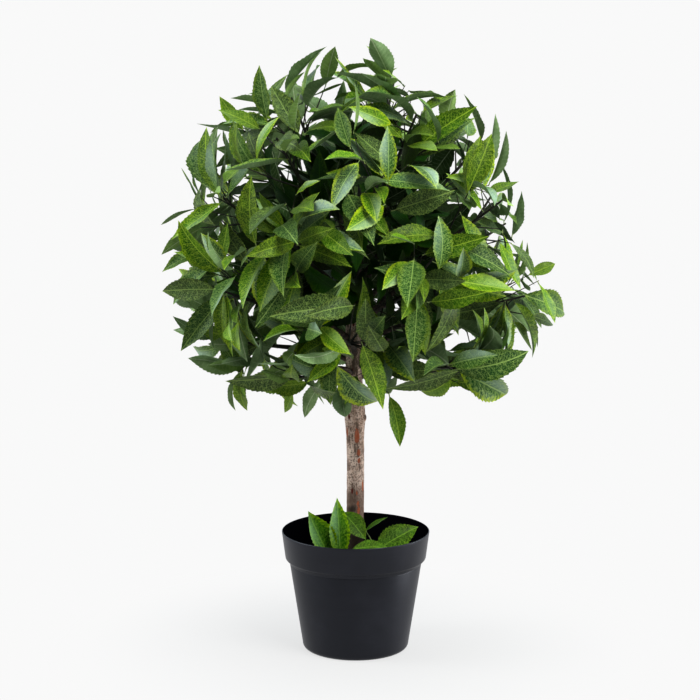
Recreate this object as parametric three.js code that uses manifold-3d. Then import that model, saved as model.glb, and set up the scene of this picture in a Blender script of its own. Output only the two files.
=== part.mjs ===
// A ball-headed artificial bay tree in a round plastic pot: a cut wooden stem set in a weighted pot,
// wire boughs that leave the stem like an umbrella's ribs, and one leafy spray on the end of each bough.
// Millimetres, +Z up. The origin is the middle of the pot's flat underside.

import * as THREE from "three";
import { mergeVertices } from "three/addons/utils/BufferGeometryUtils.js";
import Module from "manifold-3d";

const wasm = await Module();
wasm.setup();

// ---- driving dimensions ----

const pot = {
  height: 179,
  footRadius: 72, // the flat ring it stands on
  lowRadius: 79.5, // above the rounded foot
  bodyTopRadius: 99.3,
  bandRadius: 105, // at the band's lower edge
  rimRadius: 110.2,
  bandHeight: 43,
  footRound: 8,
  floor: 4,
  wall: 3,
  lip: 1.2, // how far the rim's outer edge is rounded off
  step: 3, // height of the band's sloping lower edge
  sides: 36,
};

const fill = { foot: 9, top: 122 };

const trunk = {
  top: 600,
  footRadius: 13.2,
  radius: 12.4,
  topRadius: 9.5,
  sides: 12,
  rings: 16,
  swellHeight: 359, // a node in the wood, with two cut stubs
  swell: 2.1,
  swellSpread: 17,
  sway: 1.4, // how far its axis wanders from a straight line
  flare: 14, // height over which its foot widens
  flutes: 0.5, // how far it is from round
  spare: 4, // length below the flat cut, which the cut takes off
};

// Stubs of twigs cut off the stem: height, direction in degrees, radius, and how far each stands out.
// Each leans up a little.
const stubs = [
  { height: 352, turn: -20, radius: 3.6, out: 3.2 },
  { height: 366, turn: 195, radius: 2.6, out: 3.0 },
  { height: 214, turn: 205, radius: 4.2, out: 2.6 },
];

const stubLean = 0.35;

const crown = {
  centre: new THREE.Vector3(6, 0, 620),
  sprays: 27,
  lowestSine: -0.86, // no spray points straight down, where the stem is
  reach: 296, // from the centre to the furthest tips
  skirt: 26, // extra reach of the low sprays
  skirtElevation: -30,
  skirtSpread: 24,
  underFrom: -50, // below this elevation it reaches less,
  under: 34, // by this much straight below
  heavySide: new THREE.Vector3(0.8, 0, -0.6), // the side on which it hangs fuller
  heavier: 13, // extra reach there
  unevenness: 9, // how far its outline varies from spray to spray
  trunkRoom: 6, // kept free of leaves round the stem
  limbRoom: 2.5, // and round each bough
};

const bough = {
  lowestRoot: 404,
  highestRoot: 590,
  rootRadius: 3.8,
  tipRadius: 3.2,
  share: 0.42, // of the way from its root to the spray's end
  lift: 16, // how far it arches above a straight line
  sides: 5,
  segments: 2,
};

const spray = {
  endDepth: 52, // its end lies this far inside the crown's reach
  overlap: 2, // its stem starts this far inside the bough, and is cut off flat clear of it
  stemRadius: 3.4,
  twigRadius: 1.6,
  taper: 0.85, // a twig's radius at its end, as a share of that at its start
  sideTwigs: 4,
  firstFork: 0.3, // where they leave the stem, as shares of its length
  forkStep: 0.13,
  spread: 66, // from the spray's axis to a side twig's end
  back: 20, // a side twig ends this far behind the stem's end
  leavesPerTwig: 5,
  tries: 9, // for each leaf, a little shorter each time
  clear: 0.5, // kept free on its side of the middle between two sprays
};

const leaf = {
  shortest: 72,
  longest: 106,
  width: 0.39, // of its length
  widestAt: 0.46,
  thickness: 0.016, // of its length
  stalkDepth: 1.1, // height of its root, which is sunk in the twig
  youngTilt: 26, // between the youngest leaf and its twig, in degrees
  oldTilt: 80,
  fold: 0.14, // rise of each edge above the midrib, as a share of half its width
  droop: 0.1, // drop of its tip, as a share of its length
  sag: 0.12, // how much its weight turns it down
  spacing: 7, // between leaf roots along a twig
  shrink: 0.97, // a leaf that finds no room is tried this much shorter
};

const gap = 0.3; // between two pieces that meet
const weld = 0.05; // corners of a fused mass nearer than this are merged
const goldenAngle = Math.PI * (3 - Math.sqrt(5));
const up = new THREE.Vector3(0, 0, 1);

// ---- colours ----

const finishes = {
  pot: { color: 0x2b2d31, roughness: 0.55, metalness: 0 },
  fill: { color: 0x17130f, roughness: 0.95, metalness: 0 },
  bark: { color: 0x83715f, roughness: 0.9, metalness: 0 },
  wire: { color: 0x2a2a1c, roughness: 0.6, metalness: 0 },
  leaf: { color: 0x3e5a22, roughness: 0.5, metalness: 0 },
  youngLeaf: { color: 0x5a8a28, roughness: 0.5, metalness: 0 },
};

const materials = Object.fromEntries(
  Object.entries(finishes).map(([name, finish]) => [
    name,
    new THREE.MeshStandardMaterial(finish),
  ]),
);

// ---- small helpers ----

// The same numbers for the same seed: a linear congruential generator on 32 bits.
function seeded(seed) {
  let state = (seed * 2654435761) >>> 0;
  return (low = 0, high = 1) => {
    state = (Math.imul(state, 1664525) + 1013904223) >>> 0;
    return low + ((high - low) * state) / 4294967296;
  };
}

const mix = (a, b, share) => a + (b - a) * share;

// Two unit vectors square to an axis, and such a pair turned about it.
function sideways(axis) {
  const helper = Math.abs(axis.z) < 0.9 ? up : new THREE.Vector3(1, 0, 0);
  const u = new THREE.Vector3().crossVectors(helper, axis).normalize();
  return [u, new THREE.Vector3().crossVectors(axis, u)];
}

function turnedPair([u, v], turn) {
  const [cos, sin] = [Math.cos(turn), Math.sin(turn)];
  return [
    u.clone().multiplyScalar(cos).addScaledVector(v, sin),
    v.clone().multiplyScalar(cos).addScaledVector(u, -sin),
  ];
}

function distanceToPath(point, path) {
  let nearest = Infinity;
  for (let i = 0; i + 1 < path.length; i++) {
    const segment = new THREE.Line3(path[i], path[i + 1]);
    const foot = segment.closestPointToPoint(point, true, new THREE.Vector3());
    nearest = Math.min(nearest, foot.distanceTo(point));
  }
  return nearest;
}

// A closed geometry as a solid that can be joined and cut, and a solid as a geometry.
function solidOf(geometry) {
  const bare = new THREE.BufferGeometry();
  bare.setAttribute("position", geometry.getAttribute("position"));
  bare.setIndex(geometry.index);
  const merged = mergeVertices(bare, 1e-3);
  return new wasm.Manifold(
    new wasm.Mesh({
      numProp: 3,
      vertProperties: new Float32Array(merged.attributes.position.array),
      triVerts: new Uint32Array(merged.index.array),
    }),
  );
}

function geometryOf(solid) {
  const { vertProperties, triVerts, numProp } = solid.getMesh();
  const places = new Float32Array((vertProperties.length / numProp) * 3);
  for (let i = 0; i < places.length / 3; i++)
    places.set(vertProperties.subarray(i * numProp, i * numProp + 3), i * 3);
  return new THREE.BufferGeometry()
    .setAttribute("position", new THREE.BufferAttribute(places, 3))
    .setIndex(new THREE.BufferAttribute(new Uint32Array(triVerts), 1));
}

function largestPiece(solid) {
  return solid
    .decompose()
    .reduce((best, piece) => (piece.volume() > best.volume() ? piece : best));
}

// A cylinder bent along a curve, whose radius changes along it. Its rings are square to the curve, or all lie
// along two given vectors.
function limb(curve, radiusAt, sides, segments, rings) {
  const geometry = new THREE.CylinderGeometry(1, 1, 1, sides, segments);
  const places = geometry.attributes.position;
  const { normals, binormals } = curve.computeFrenetFrames(segments, false);
  const vertex = new THREE.Vector3();
  for (let i = 0; i < places.count; i++) {
    vertex.fromBufferAttribute(places, i);
    const share = 0.5 - vertex.y;
    const ring = Math.round(share * segments);
    const at = curve.getPointAt(share);
    const radius = radiusAt(share, Math.atan2(vertex.z, vertex.x));
    const [across, along] = rings ?? [normals[ring], binormals[ring]];
    at.addScaledVector(across, vertex.x * radius);
    at.addScaledVector(along, vertex.z * radius);
    places.setXYZ(i, at.x, at.y, at.z);
  }
  // the cylinder's rows run from its top down, so the rings' turn decides which way its faces point
  const solid = solidOf(geometry);
  if (solid.volume() > 0) return solid;
  const index = geometry.index.array;
  for (let i = 0; i < index.length; i += 3)
    [index[i + 1], index[i + 2]] = [index[i + 2], index[i + 1]];
  return solidOf(geometry);
}

// ---- pot and fill ----

const bandFoot = pot.height - pot.bandHeight;
const innerAt = (height) =>
  mix(
    pot.lowRadius,
    pot.bodyTopRadius,
    (height - pot.footRound) / (bandFoot - pot.footRound),
  ) - pot.wall;

function potProfile() {
  const arc = [0, 30, 60, 90].map((degrees) => {
    const turn = THREE.MathUtils.degToRad(degrees);
    return [
      mix(pot.footRadius, pot.lowRadius, Math.sin(turn)),
      pot.footRound * (1 - Math.cos(turn)),
    ];
  });
  const outside = [
    [0, 0],
    ...arc,
    [pot.bodyTopRadius, bandFoot],
    [mix(pot.bodyTopRadius, pot.bandRadius, 0.7), bandFoot + pot.step / 4],
    [pot.bandRadius, bandFoot + pot.step],
    [pot.rimRadius, pot.height - pot.lip],
    [pot.rimRadius - pot.lip, pot.height],
  ];
  const inside = [
    [pot.rimRadius - pot.wall, pot.height],
    [pot.bandRadius - pot.wall, bandFoot + pot.step],
    [innerAt(bandFoot), bandFoot],
    [innerAt(pot.footRound), pot.footRound],
    [pot.footRadius - pot.wall, pot.floor],
    [0, pot.floor],
  ];
  return [...outside, ...inside];
}

function fillProfile() {
  return [
    [0, fill.foot],
    [innerAt(fill.foot) - gap, fill.foot],
    [innerAt(fill.top) - gap, fill.top],
    [0, fill.top],
  ];
}

function turned(profile) {
  const points = profile.map(([x, y]) => new THREE.Vector2(x, y));
  return new THREE.LatheGeometry(points, pot.sides);
}

// ---- stem ----

const trunkFoot = fill.top + gap;

function trunkCentre(height) {
  const share = (height - trunkFoot) / (trunk.top - trunkFoot);
  return new THREE.Vector3(
    trunk.sway * Math.sin(share * 5.2),
    trunk.sway * Math.sin(share * 3.7 + 1),
    height,
  );
}

function trunkRadius(height) {
  const share = (height - trunkFoot) / (trunk.top - trunkFoot);
  const node = (height - trunk.swellHeight) / trunk.swellSpread;
  const foot = Math.exp(-(height - trunkFoot) / trunk.flare);
  return (
    mix(trunk.radius, trunk.topRadius, Math.max(0, (share - 0.5) / 0.5)) +
    (trunk.footRadius - trunk.radius) * foot +
    trunk.swell * Math.exp(-node * node)
  );
}

function trunkSolid(grow = 0) {
  const heights = (share) => mix(trunkFoot - trunk.spare, trunk.top, share);
  const curve = new THREE.CatmullRomCurve3(
    Array.from({ length: 9 }, (_, i) => trunkCentre(heights(i / 8))),
  );
  let solid = limb(
    curve,
    (share, turn) =>
      trunkRadius(heights(share)) +
      trunk.flutes * Math.sin(3 * turn + 6 * share) +
      grow,
    trunk.sides,
    trunk.rings,
  );
  for (const stub of stubs) {
    const turn = THREE.MathUtils.degToRad(stub.turn);
    const away = new THREE.Vector3(Math.cos(turn), Math.sin(turn), stubLean);
    away.normalize();
    const root = trunkCentre(stub.height);
    const tip = root
      .clone()
      .addScaledVector(away, trunkRadius(stub.height) + stub.out + grow);
    solid = solid.add(
      limb(
        new THREE.LineCurve3(root, tip),
        (share) => stub.radius * mix(1.25, 0.9, share) + grow,
        7,
        1,
      ),
    );
  }
  // the flat cut at the stem's foot
  return grow ? solid : solid.trimByPlane([0, 0, 1], trunkFoot);
}

// ---- where the boughs and sprays go ----

// Spray k points this way from the crown's centre: even steps down and a golden angle round.
function sprayDirection(k) {
  const sine = mix(1, crown.lowestSine, (k + 0.5) / crown.sprays);
  const level = Math.sqrt(1 - sine * sine);
  const turn = k * goldenAngle + 0.6;
  return new THREE.Vector3(level * Math.cos(turn), level * Math.sin(turn), sine);
}

// The crown's outline: how far its tips reach in a direction.
function reachAlong(direction) {
  const elevation = THREE.MathUtils.radToDeg(
    Math.asin(THREE.MathUtils.clamp(direction.z, -1, 1)),
  );
  const fromSkirt = (elevation - crown.skirtElevation) / crown.skirtSpread;
  const below = Math.max(0, (crown.underFrom - elevation) / (90 + crown.underFrom));
  const towardsHeavy = Math.max(0, direction.dot(crown.heavySide));
  return (
    crown.reach +
    crown.skirt * Math.exp(-fromSkirt * fromSkirt) +
    crown.heavier * towardsHeavy ** 4 -
    crown.under * below
  );
}

// A spray's lines: its bough's curve from the stem, and its spine from the bough's tip to the crown's outline.
function sprayLines(k) {
  const direction = sprayDirection(k);
  const random = seeded(k + 11);
  const fallen = (1 - direction.z) / (1 - crown.lowestSine);
  const rootHeight = mix(bough.highestRoot, bough.lowestRoot, fallen ** 0.85);
  const root = trunkCentre(rootHeight);
  const end = crown.centre
    .clone()
    .addScaledVector(
      direction,
      reachAlong(direction) - spray.endDepth + random(-crown.unevenness, crown.unevenness / 2),
    );
  const tip = root.clone().lerp(end, bough.share);
  tip.z += bough.lift * 0.5;
  const middle = root.clone().lerp(tip, 0.5);
  middle.z += bough.lift;
  const outer = crown.centre.clone().addScaledVector(direction, reachAlong(direction));
  const curve = new THREE.QuadraticBezierCurve3(root, middle, tip);
  return {
    direction,
    curve,
    boughPath: curve.getPoints(bough.segments),
    tip,
    end,
    spine: [tip, end, outer],
  };
}

const lines = Array.from({ length: crown.sprays }, (_, k) => sprayLines(k));
const trunkPath = [
  new THREE.Vector3(0, 0, trunkFoot),
  new THREE.Vector3(0, 0, trunk.top),
];

// True where a point lies in spray k's own space, inside the crown's outline and clear of every limb.
function isFree(k, point) {
  const own = distanceToPath(point, lines[k].spine);
  for (let j = 0; j < lines.length; j++)
    if (j !== k && distanceToPath(point, lines[j].spine) < own + spray.clear)
      return false;
  const out = point.clone().sub(crown.centre);
  if (out.length() > reachAlong(out.clone().normalize())) return false;
  if (distanceToPath(point, trunkPath) < trunk.radius + crown.trunkRoom) return false;
  return lines.every(
    ({ boughPath }, j) =>
      j === k || distanceToPath(point, boughPath) > bough.rootRadius + crown.limbRoom,
  );
}

// ---- leaves ----

// A leaf's corners from its root, axis, upper side and length.
function leafCorners({ root, axis, face, length }) {
  const across = new THREE.Vector3().crossVectors(face, axis).normalize();
  const half = (leaf.width * length) / 2;
  const at = (along, side, rise) =>
    root
      .clone()
      .addScaledVector(axis, along)
      .addScaledVector(across, side)
      .addScaledVector(face, rise);
  const widest = leaf.widestAt * length;
  const arch = leaf.droop * length * 0.25;
  const thick = leaf.thickness * length;
  return {
    tip: at(length, 0, -leaf.droop * length * 0.6),
    rootTop: at(0, 0, leaf.stalkDepth / 2),
    rootUnder: at(0, 0, -leaf.stalkDepth / 2),
    left: at(widest, half, arch + leaf.fold * half),
    right: at(widest, -half, arch + leaf.fold * half),
    top: at(widest, 0, arch * 0.3 + thick),
  };
}

// The leaf itself: an octahedron pulled to those six corners, so it has eight faces and a keeled underside.
function leafSolid(blade) {
  const corners = leafCorners(blade);
  const geometry = new THREE.OctahedronGeometry(1);
  const places = geometry.attributes.position;
  for (let i = 0; i < places.count; i++) {
    const x = places.getX(i);
    const y = places.getY(i);
    const z = places.getZ(i);
    let corner;
    if (x > 0.5) corner = corners.tip;
    else if (x < -0.5) corner = corners.rootTop;
    else if (y > 0.5) corner = corners.left;
    else if (y < -0.5) corner = corners.right;
    else if (z > 0.5) corner = corners.top;
    else corner = corners.rootUnder;
    places.setXYZ(i, corner.x, corner.y, corner.z);
  }
  return solidOf(geometry);
}

function leafIsFree(k, blade) {
  const { tip, left, right, top, rootTop } = leafCorners(blade);
  const edges = [
    left.clone().lerp(tip, 0.5),
    right.clone().lerp(tip, 0.5),
    left.clone().lerp(rootTop, 0.4),
    right.clone().lerp(rootTop, 0.4),
  ];
  return [tip, left, right, top, ...edges].every((point) => isFree(k, point));
}

// A twig is straight, on a three-sided section.
function newTwig(start, end, radius, random) {
  const way = end.clone().sub(start).normalize();
  const section = turnedPair(sideways(way), random(0, 2 * Math.PI));
  return { start, end, radius, way, section };
}

const alongTwig = ({ start, end }, share) => start.clone().lerp(end, share);

// A leaf on a twig: the nth from the twig's tip, which leaves through one of the twig's three faces. The
// youngest, nearest the tip, are the most upright, and all turn their upper side out of the crown.
function leafOnTwig({ end, way, section }, outward, n, attempt, random) {
  const [u, v] = section;
  const turn = (2 * ((n + attempt) % 3) + 1) * (Math.PI / 3) + random(-0.3, 0.3);
  const age = n / (spray.leavesPerTwig - 1);
  const tilt = THREE.MathUtils.degToRad(
    mix(leaf.youngTilt, leaf.oldTilt, age) + random(-16, 16),
  );
  const out = u
    .clone()
    .multiplyScalar(Math.sin(turn))
    .addScaledVector(v, Math.cos(turn));
  const axis = way
    .clone()
    .multiplyScalar(Math.cos(tilt))
    .addScaledVector(out, Math.sin(tilt));
  axis.z -= leaf.sag;
  axis.normalize();
  const face = way.clone().add(outward);
  face.addScaledVector(axis, -face.dot(axis)).normalize();
  return {
    root: end.clone().addScaledVector(way, -3 - n * leaf.spacing),
    axis,
    face,
    length:
      mix(leaf.shortest, leaf.longest, age) * random(0.9, 1.04) * leaf.shrink ** attempt,
  };
}

// ---- growing one spray ----

const crosses = (solid, others) => others.some((other) => !solid.intersect(other).isEmpty());

// The stem and its side twigs, then leaves round each twig's end. A leaf that would leave the spray's space or
// cross another leaf or twig is tried again, turned and a little shorter, and left out if it never fits.
function growSpray(k) {
  const { direction, curve, tip, end } = lines[k];
  const random = seeded(k + 101);
  const cut = curve.getTangent(1); // the stem's foot faces the bough's end
  const start = tip.clone().addScaledVector(cut, -spray.overlap);
  const stem = newTwig(start, end, spray.stemRadius, random);
  const [u, v] = sideways(direction);
  const phase = random(0, 2 * Math.PI);
  const twigs = [stem];
  for (let t = 0; t < spray.sideTwigs; t++) {
    const turn = phase + (t * 2 * Math.PI) / spray.sideTwigs + random(-0.3, 0.3);
    const fork = alongTwig(stem, spray.firstFork + spray.forkStep * t);
    const spread = spray.spread * random(0.8, 1.1);
    const far = end
      .clone()
      .addScaledVector(u, spread * Math.cos(turn))
      .addScaledVector(v, spread * Math.sin(turn))
      .addScaledVector(direction, -spray.back * random(0.3, 1.6));
    const twig = newTwig(fork, far, spray.twigRadius, random);
    const points = [0.5, 0.8, 1].map((share) => alongTwig(twig, share));
    if (points.every((point) => isFree(k, point))) twigs.push(twig);
  }
  const foot = cut.dot(tip) + gap;
  const wood = twigs.map((twig) => twigSolid(twig).trimByPlane(cut.toArray(), foot));
  const blades = [];
  for (const [t, twig] of twigs.entries()) {
    const otherWood = wood.filter((_, w) => w !== t);
    for (let n = 0; n < spray.leavesPerTwig; n++) {
      for (let attempt = 0; attempt < spray.tries; attempt++) {
        const blade = leafOnTwig(twig, direction, n, attempt, random);
        if (!leafIsFree(k, blade)) continue;
        const solid = leafSolid(blade);
        if (crosses(solid, [...otherWood, ...blades])) continue;
        blades.push(solid);
        break;
      }
    }
  }
  return [...wood, ...blades];
}

function twigSolid({ start, end, radius, section }) {
  const line = new THREE.LineCurve3(start, end);
  return limb(line, (share) => radius * mix(1, spray.taper, share), 3, 1, section);
}

// One closed body: loose scraps are dropped, and corners closer than the weld are merged.
const joined = (solids) => largestPiece(wasm.Manifold.union(solids)).simplify(weld);

// ---- the sprigs at the stem's foot ----

// Short leafy sprigs stuck in the fill round the stem: direction in degrees and distance from the stem's axis.
const sprigs = [
  { turn: 236, out: 31, seed: 3 },
  { turn: 322, out: 34, seed: 8 },
  { turn: 86, out: 32, seed: 21 },
];
const sprig = {
  height: 48,
  radius: 2,
  lean: 5, // of its tip, away from the stem
  leaves: 5,
  tries: 60,
  leafLength: 66,
  inside: 4, // kept clear of the pot's wall and the stem
};

function sprigIsFree(blade) {
  const { tip, left, right } = leafCorners(blade);
  return [tip, left, right].every((point) => {
    const out = Math.hypot(point.x, point.y);
    const wall = innerAt(Math.min(point.z, bandFoot - 2)) - sprig.inside;
    const overRim = point.z > pot.height + sprig.inside;
    return (
      (overRim || out < wall) &&
      point.z > fill.top + sprig.inside &&
      out > trunk.footRadius + sprig.inside
    );
  });
}

// Its leaves fan out from side to side, and rise and lean away from the stem by chance.
function growSprig({ turn, out, seed }) {
  const random = seeded(seed);
  const radians = THREE.MathUtils.degToRad(turn);
  const away = new THREE.Vector3(Math.cos(radians), Math.sin(radians), 0);
  const round = new THREE.Vector3().crossVectors(up, away);
  const start = away.clone().multiplyScalar(out).setZ(trunkFoot);
  const end = start.clone().addScaledVector(away, sprig.lean);
  end.z += sprig.height;
  const twig = newTwig(start, end, sprig.radius, random);
  const wood = twigSolid(twig).trimByPlane(up.toArray(), trunkFoot);
  const blades = [];
  for (let n = 0; n < sprig.tries && blades.length < sprig.leaves; n++) {
    const side = mix(-1, 1, (blades.length + 0.5) / sprig.leaves) + random(-0.25, 0.25);
    const axis = round
      .clone()
      .multiplyScalar(side)
      .addScaledVector(away, random(0, 0.7))
      .addScaledVector(up, random(0.3, 1.2))
      .normalize();
    const face = away.clone().multiplyScalar(0.5).add(up);
    face.addScaledVector(axis, -face.dot(axis)).normalize();
    const root = end.clone().addScaledVector(twig.way, -3 - (blades.length * leaf.spacing) / 2);
    const blade = { root, axis, face, length: sprig.leafLength * random(0.8, 1.1) };
    const solid = leafSolid(blade);
    if (sprigIsFree(blade) && !crosses(solid, blades)) blades.push(solid);
  }
  return [wood, ...blades];
}

// ---- the whole tree ----

const tree = new THREE.Group();

function place(name, geometry, material, parent = tree) {
  geometry.computeVertexNormals();
  const mesh = new THREE.Mesh(geometry, material);
  mesh.name = name;
  parent.add(mesh);
  return mesh;
}

const numbered = (name, k) => `${name}_${String(k + 1).padStart(2, "0")}`;

const vessel = new THREE.Group(); // lathes turn about Y, and the tree's axis is Z
vessel.rotation.x = Math.PI / 2;
tree.add(vessel);
place("pot", turned(potProfile()), materials.pot, vessel);
place("pot_fill", turned(fillProfile()), materials.fill, vessel);

place("trunk", geometryOf(trunkSolid()), materials.bark);

const trunkRoom = trunkSolid(gap);
lines.forEach(({ curve }, k) => {
  const whole = limb(
    curve,
    (share) => mix(bough.rootRadius, bough.tipRadius, share),
    bough.sides,
    bough.segments,
  );
  const cut = largestPiece(whole.subtract(trunkRoom));
  place(numbered("bough", k), geometryOf(cut), materials.wire);
});

lines.forEach((_, k) => {
  const solid = joined(growSpray(k));
  place(numbered("spray", k), geometryOf(solid), materials.leaf);
});

sprigs.forEach((spot, k) => {
  const solid = joined(growSprig(spot));
  place(numbered("foot_sprig", k), geometryOf(solid), materials.youngLeaf);
});

export default tree;
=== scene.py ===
import math
import bpy
import numpy as np
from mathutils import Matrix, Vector, noise
from mathutils.bvhtree import BVHTree


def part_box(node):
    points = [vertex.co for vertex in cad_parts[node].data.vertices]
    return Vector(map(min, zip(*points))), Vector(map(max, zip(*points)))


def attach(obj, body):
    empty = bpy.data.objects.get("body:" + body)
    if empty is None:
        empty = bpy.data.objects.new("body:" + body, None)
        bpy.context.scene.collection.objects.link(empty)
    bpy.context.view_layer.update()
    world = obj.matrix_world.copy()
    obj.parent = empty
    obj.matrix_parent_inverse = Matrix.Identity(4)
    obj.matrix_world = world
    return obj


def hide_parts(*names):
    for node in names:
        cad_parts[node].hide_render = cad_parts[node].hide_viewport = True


# An artificial ball-headed bay tree: a cut wooden stem, wire boughs, cloth leaves, a weighted plastic pot.
# Growth is worked out in millimetres, by the rule its solids grew by, and every mesh is made in metres.

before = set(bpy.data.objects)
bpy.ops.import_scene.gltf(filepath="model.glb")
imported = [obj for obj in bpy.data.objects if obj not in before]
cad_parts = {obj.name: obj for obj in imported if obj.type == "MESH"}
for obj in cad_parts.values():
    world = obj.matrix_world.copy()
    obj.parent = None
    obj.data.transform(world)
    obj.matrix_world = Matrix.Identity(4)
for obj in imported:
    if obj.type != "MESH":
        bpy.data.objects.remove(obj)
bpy.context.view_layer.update()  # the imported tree: its bodies, nodes and record
print("frame loaded:", len(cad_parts), "nodes")

mm = 0.001
goldenAngle = math.pi * (3 - math.sqrt(5))
upward = Vector((0, 0, 1))
sprayCount = sum(name.startswith("spray_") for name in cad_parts)


def placed(name, data):  # a new object in the scene
    made = bpy.data.objects.new(name, data)
    bpy.context.scene.collection.objects.link(made)
    return made


# camera

view = {
    "distance": 3.0,  # in front of the stem
    "height": 0.958,
    "side": -0.0084,
    "down": 9.58,  # degrees below level
    "lens": 106.3,
    "sensor": 36,
}


def setCamera():
    data = bpy.data.cameras.new("viewCamera")
    data.lens = view["lens"]
    data.sensor_width = view["sensor"]
    data.clip_end = 100
    camera = placed("viewCamera", data)
    camera.location = (view["side"], -view["distance"], view["height"])
    camera.rotation_euler = (math.radians(90 - view["down"]), 0, 0)
    bpy.context.scene.camera = camera


setCamera()
print("camera set")


# materials

def srgb(red, green, blue):  # a screen colour as a linear one
    def linear(value):
        share = value / 255
        return share / 12.92 if share <= 0.04045 else ((share + 0.055) / 1.055) ** 2.4
    return (linear(red), linear(green), linear(blue), 1)


class Wire:  # one socket in a node tree, so that masks and patterns are written as sums
    def __init__(self, tree, socket=None):
        self.tree = tree
        self.socket = socket

    def node(self, kind, settings=None, sockets=None, out=0):
        made = self.tree.nodes.new("ShaderNode" + kind)
        for key, value in (settings or {}).items():
            setattr(made, key, value)
        for key, value in (sockets or {}).items():
            if isinstance(value, Wire):
                self.tree.links.new(value.socket, made.inputs[key])
            else:
                made.inputs[key].default_value = value
        return Wire(self.tree, made.outputs[out])

    def sum(self, operation, *values):
        return self.node("Math", {"operation": operation}, dict(enumerate(values)))

    def __add__(self, other): return self.sum("ADD", self, other)
    def __radd__(self, other): return self.sum("ADD", other, self)
    def __sub__(self, other): return self.sum("SUBTRACT", self, other)
    def __rsub__(self, other): return self.sum("SUBTRACT", other, self)
    def __mul__(self, other): return self.sum("MULTIPLY", self, other)
    def __rmul__(self, other): return self.sum("MULTIPLY", other, self)
    def __truediv__(self, other): return self.sum("DIVIDE", self, other)
    def __pow__(self, other): return self.sum("POWER", self, other)
    def __abs__(self): return self.sum("ABSOLUTE", self)

    def below(self, other): return self.sum("MINIMUM", self, other)
    def above(self, other): return self.sum("MAXIMUM", self, other)
    def whole(self): return self.sum("FLOOR", self)
    def fraction(self): return self.sum("FRACT", self)

    def step(self, low, high):  # 0 at low, 1 at high, smooth between them
        sockets = {"Value": self, "From Min": low, "From Max": high}
        return self.node("MapRange", {"interpolation_type": "SMOOTHSTEP"}, sockets)

    def blend(self, first, second):  # from the first colour at 0 to the second at 1
        return self.node("Mix", {"data_type": "RGBA"}, {0: self, 6: first, 7: second}, 2)

    def tinted(self, colour):  # self is the grey that a colour is multiplied by
        shade = self.vector(self, self, self)
        return self.node("VectorMath", {"operation": "MULTIPLY"}, {0: colour, 1: shade})

    def vector(self, *parts):
        return self.node("CombineXYZ", None, dict(enumerate(parts)))

    def place(self):  # of each point of the piece, in metres
        return self.node("TexCoord", None, None, "Object")

    def part(self, axis):
        return self.node("SeparateXYZ", None, {0: self}, axis)

    def stretched(self, *factors):
        return self.node("VectorMath", {"operation": "MULTIPLY"}, {0: self, 1: factors})

    def clouds(self, scale, detail, roughness=0.5):
        sockets = {"Vector": self, "Scale": scale, "Detail": detail, "Roughness": roughness}
        return self.node("TexNoise", None, sockets)

    def chance(self, shift):  # a random number that goes with each value of self
        return self.node("TexWhiteNoise", {"noise_dimensions": "1D"}, {"W": self + shift})


def newFinish(name):  # an empty material, and a wire in its tree to start from
    material = bpy.data.materials.new(name)
    material.use_nodes = True
    material.node_tree.nodes.clear()
    return material, Wire(material.node_tree)


def showAs(start, surface, kind):  # the last node, which a surface or background ends in
    output = start.tree.nodes.new("ShaderNode" + kind)
    start.tree.links.new(surface.socket, output.inputs["Surface"])


def finishWith(start, values, relief=None, depth=0.0, strength=1.0):
    if relief:
        sockets = {"Height": relief, "Distance": depth, "Strength": strength}
        values = values | {"Normal": start.node("Bump", None, sockets)}
    surface = start.node("BsdfPrincipled", None, values)
    showAs(start, surface, "OutputMaterial")


# numbers and vectors

def seeded(seed):  # the same numbers for the same seed, as for the solids
    state = (seed * 2654435761) & 0xFFFFFFFF

    def draw(low=0.0, high=1.0):
        nonlocal state
        state = (state * 1664525 + 1013904223) & 0xFFFFFFFF
        return low + (high - low) * state / 4294967296
    return draw


def mix(first, second, share):
    return first + (second - first) * share


def sideways(axis):  # two unit vectors square to an axis
    helper = upward if abs(axis.z) < 0.9 else Vector((1, 0, 0))
    u = helper.cross(axis).normalized()
    return u, axis.cross(u)


def squared(vector, axis):  # a vector with what lies along the axis taken out, at unit length
    return (vector - axis * vector.dot(axis)).normalized()


def around(u, v, turn):
    return u * math.cos(turn) + v * math.sin(turn)


def turnedPair(pair, turn):
    u, v = pair
    return around(u, v, turn), v * math.cos(turn) - u * math.sin(turn)


# pieces

def newPiece(name, points, faces, finish, nodes, spots=None, crease=60):
    # points in mm; faces as arrays of corners, one array for each number of corners
    mesh = bpy.data.meshes.new(name)
    corners = np.concatenate([part.ravel() for part in faces]).astype(np.int32)
    sizes = np.concatenate([np.full(len(part), part.shape[1]) for part in faces])
    starts = np.concatenate([[0], np.cumsum(sizes)[:-1]]).astype(np.int32)
    mesh.vertices.add(len(points))
    mesh.vertices.foreach_set("co", (np.asarray(points) * mm).astype(np.float32).ravel())
    mesh.loops.add(len(corners))
    mesh.loops.foreach_set("vertex_index", corners)
    mesh.polygons.add(len(sizes))
    mesh.polygons.foreach_set("loop_start", starts)
    mesh.update(calc_edges=True)
    mesh.validate()
    if spots is not None:
        layer = mesh.uv_layers.new(name="OFBake")
        layer.data.foreach_set("uv", spots.astype(np.float32).ravel())
    mesh.shade_smooth()
    mesh.set_sharp_from_angle(angle=math.radians(crease))
    mesh.materials.append(finish)
    piece = placed(name, mesh)
    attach(piece, "root")
    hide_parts(*nodes)
    return piece


def nodesNamed(start):
    return [name for name in sorted(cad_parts) if name.startswith(start)]


def ringFaces(rings, sides):  # the four-sided faces between the rings of a tube
    ring, side = np.meshgrid(np.arange(rings - 1), np.arange(sides), indexing="ij")
    here, beside = ring * sides + side, ring * sides + (side + 1) % sides
    return np.stack([here, beside, beside + sides, here + sides], -1).reshape(-1, 4)


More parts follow.
